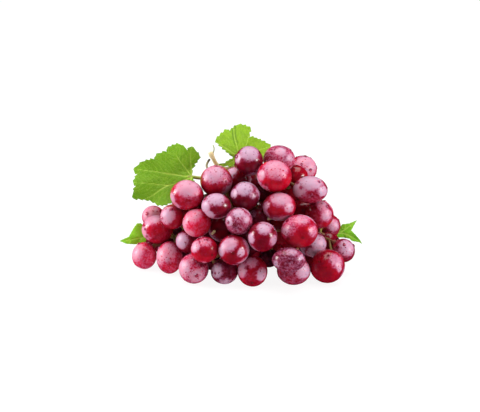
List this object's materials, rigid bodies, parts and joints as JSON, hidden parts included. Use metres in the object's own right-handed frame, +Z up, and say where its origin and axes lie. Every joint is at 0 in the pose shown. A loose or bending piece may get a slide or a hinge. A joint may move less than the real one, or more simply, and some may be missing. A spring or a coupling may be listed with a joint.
{
  "type": "bunch of grapes",
  "caption": "Bunch of large red table grapes lying on its side, with its pale peduncle and four green vine leaves behind the berries.",
  "frame": {"origin": "middle of the bounding box's base, on the surface that the bunch lies on", "axes": "+X to the right along the length of the bunch, +Y away from the viewer, +Z up"},
  "size_m": [0.203, 0.1168, 0.108],
  "materials": {
    "berry_skin": "satin, with a pale waxy bloom",
    "stalk_bark": "dull",
    "leaf": "satin",
    "young_leaf": "satin",
    "small_leaf": "satin"
  },
  "bodies": {
    "root": {"bunch": "berry_skin", "stalk": "stalk_bark", "leaf_left": "leaf", "leaf_top": "young_leaf", "leaf_low_left": "small_leaf", "leaf_low_right": "small_leaf"}
  },
  "joints": []
}
